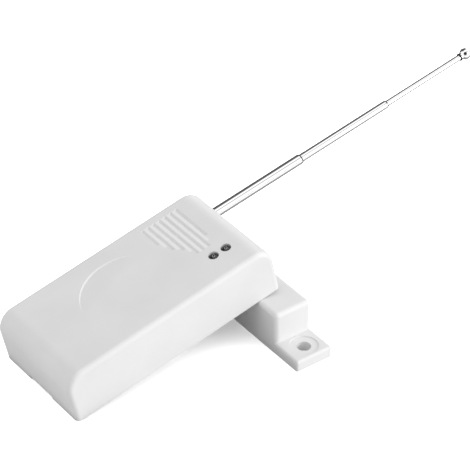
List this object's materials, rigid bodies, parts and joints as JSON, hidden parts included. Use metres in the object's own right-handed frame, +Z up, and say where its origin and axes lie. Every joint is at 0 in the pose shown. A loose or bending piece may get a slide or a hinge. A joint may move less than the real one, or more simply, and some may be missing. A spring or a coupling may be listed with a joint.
{
  "type": "door sensor",
  "caption": "Wireless door sensor: a rounded white transmitter box with a telescopic antenna, propped on its separate narrow magnet unit with screw tabs.",
  "frame": {"origin": "centre of the magnet unit's base, on the surface that both units stand on", "axes": "+Z up, +Y along the magnet unit, +X level under the transmitter's long side, towards the antenna's tip"},
  "size_m": [0.1751, 0.0574, 0.0466],
  "materials": {
    "housing_plastic": "fine satin moulding",
    "back_plastic": "fine satin moulding",
    "magnet_plastic": "fine satin moulding",
    "circuit_board": "solder resist",
    "chip_black": "moulded epoxy",
    "ceramic": "ceramic",
    "ferrite": "fired ferrite",
    "capacitor_sleeve": "shrunk sleeve",
    "battery_jacket": "printed metal jacket, bare",
    "nickel": "nickel or tin plate",
    "steel": "zinc plate",
    "brass": "turned",
    "chrome": "polished chrome plate",
    "reed_glass": "clear, pale green",
    "alarm_lens": "tinted epoxy",
    "battery_lens": "tinted epoxy",
    "magnet_metal": "sintered ferrite"
  },
  "bodies": {
    "back_plate": {"back_plate": "back_plastic"},
    "housing": {"front_housing": "housing_plastic", "circuit_board": "circuit_board", "board_screws": "steel", "battery": "battery_jacket", "battery_positive_contact": "nickel", "battery_negative_spring": "nickel", "reed_switch_glass": "reed_glass", "reed_switch_leads": "nickel", "alarm_lamp": "alarm_lens", "battery_lamp": "battery_lens", "lamp_leads": "nickel", "encoder_chip": "chip_black", "saw_resonator": "nickel", "rf_transistor": "chip_black", "rf_choke": "ferrite", "filter_capacitor": "capacitor_sleeve", "chip_resistors": "chip_black", "chip_capacitors": "ceramic", "antenna_sleeve": "chrome", "antenna_base_plug": "brass", "antenna_bracket": "nickel", "antenna_screw": "steel"},
    "antenna_section_1": {"antenna_section_1": "chrome", "antenna_bush_1": "brass"},
    "antenna_section_2": {"antenna_section_2": "chrome", "antenna_bush_2": "brass"},
    "antenna_section_3": {"antenna_section_3": "chrome", "antenna_bush_3": "brass", "antenna_tip": "chrome"},
    "magnet_unit": {"magnet_case": "magnet_plastic", "bar_magnet": "magnet_metal", "magnet_cover": "magnet_plastic"}
  },
  "joints": [
    {"name": "housing_lift", "type": "slide", "parent": "back_plate", "child": "housing", "axis": [-0.2145, 0, 0.9767], "range_m": [0, 0.025]},
    {"name": "antenna_slide_1", "type": "slide", "parent": "housing", "child": "antenna_section_1", "axis": [0.9798, 0, 0.2], "range_m": [-0.0342, 0]},
    {"name": "antenna_slide_2", "type": "slide", "parent": "antenna_section_1", "child": "antenna_section_2", "axis": [0.9798, 0, 0.2], "range_m": [-0.0338, 0]},
    {"name": "antenna_slide_3", "type": "slide", "parent": "antenna_section_2", "child": "antenna_section_3", "axis": [0.9798, 0, 0.2], "range_m": [-0.0292, 0]},
    {"name": "magnet_slide", "type": "slide", "parent": "back_plate", "child": "magnet_unit", "axis": [0, -1, 0], "range_m": [0, 0.06]}
  ]
}
